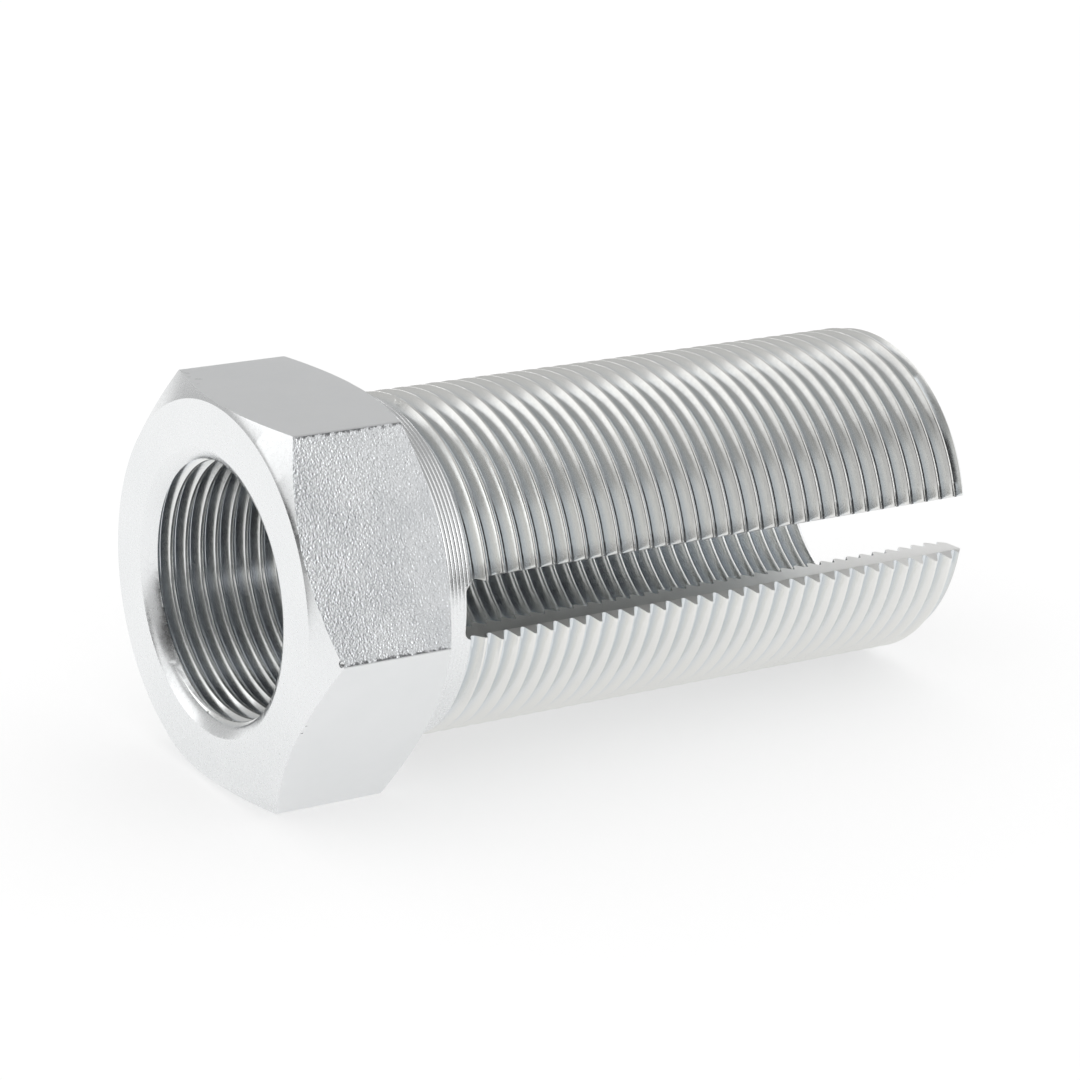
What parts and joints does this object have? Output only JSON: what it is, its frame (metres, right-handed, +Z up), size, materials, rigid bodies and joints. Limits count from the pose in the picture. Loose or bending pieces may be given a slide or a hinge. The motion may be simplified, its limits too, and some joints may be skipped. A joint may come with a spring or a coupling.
{
  "type": "threaded adjuster sleeve",
  "caption": "Hexagon-headed steel sleeve with an outside thread, a left-hand thread through its bore and a clamping slot along the barrel.",
  "frame": {"origin": "centre of the head's front face, on the axis of the bore", "axes": "+X along the axis from the head to the thread's end, +Z up out of the head's top flat, with the opposite flat underneath; the slot opens towards -Y, a little above level"},
  "size_m": [0.0667, 0.0366, 0.0318],
  "materials": {
    "zinc_plated_steel": "bright zinc plate over turned steel"
  },
  "bodies": {
    "root": {"adjuster_sleeve": "zinc_plated_steel"}
  },
  "joints": []
}
